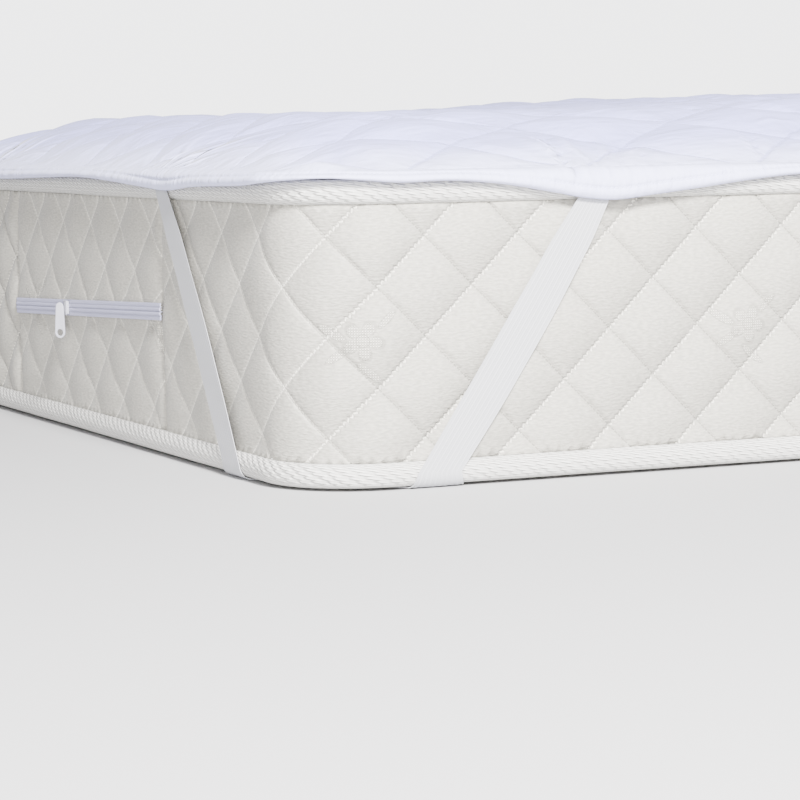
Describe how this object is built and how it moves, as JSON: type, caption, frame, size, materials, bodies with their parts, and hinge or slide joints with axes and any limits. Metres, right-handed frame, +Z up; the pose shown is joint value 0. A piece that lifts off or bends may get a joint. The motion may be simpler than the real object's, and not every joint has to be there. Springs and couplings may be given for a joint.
{
  "type": "quilted mattress protector on a mattress",
  "caption": "Quilted pad held over a mattress by flat elastic straps that slant from its hem round under the corners.",
  "frame": {"origin": "on the floor under the middle of the mattress", "axes": "+X along the mattress's length towards its foot, +Y across its width, +Z up"},
  "size_m": [1.9258, 0.924, 0.252],
  "materials": {
    "pad_cotton": "soft blue-white microfibre, quilted over wadding",
    "strap_elastic": "white woven elastic with fine lengthwise ribs",
    "mattress_ticking": "ivory knitted ticking stitched in diamonds",
    "edge_tape": "ivory chunky knitted edge tape",
    "zip_plastic": "pale lavender-white nylon zip"
  },
  "bodies": {
    "root": {"quilted_pad": "pad_cotton", "strap_head_front": "strap_elastic", "strap_foot_front": "strap_elastic", "strap_head_back": "strap_elastic", "strap_foot_back": "strap_elastic", "mattress": "mattress_ticking", "edge_tape_top": "edge_tape", "edge_tape_bottom": "edge_tape", "zip_tape": "zip_plastic", "zip_slider": "zip_plastic", "zip_pull_tab": "zip_plastic"}
  },
  "joints": []
}
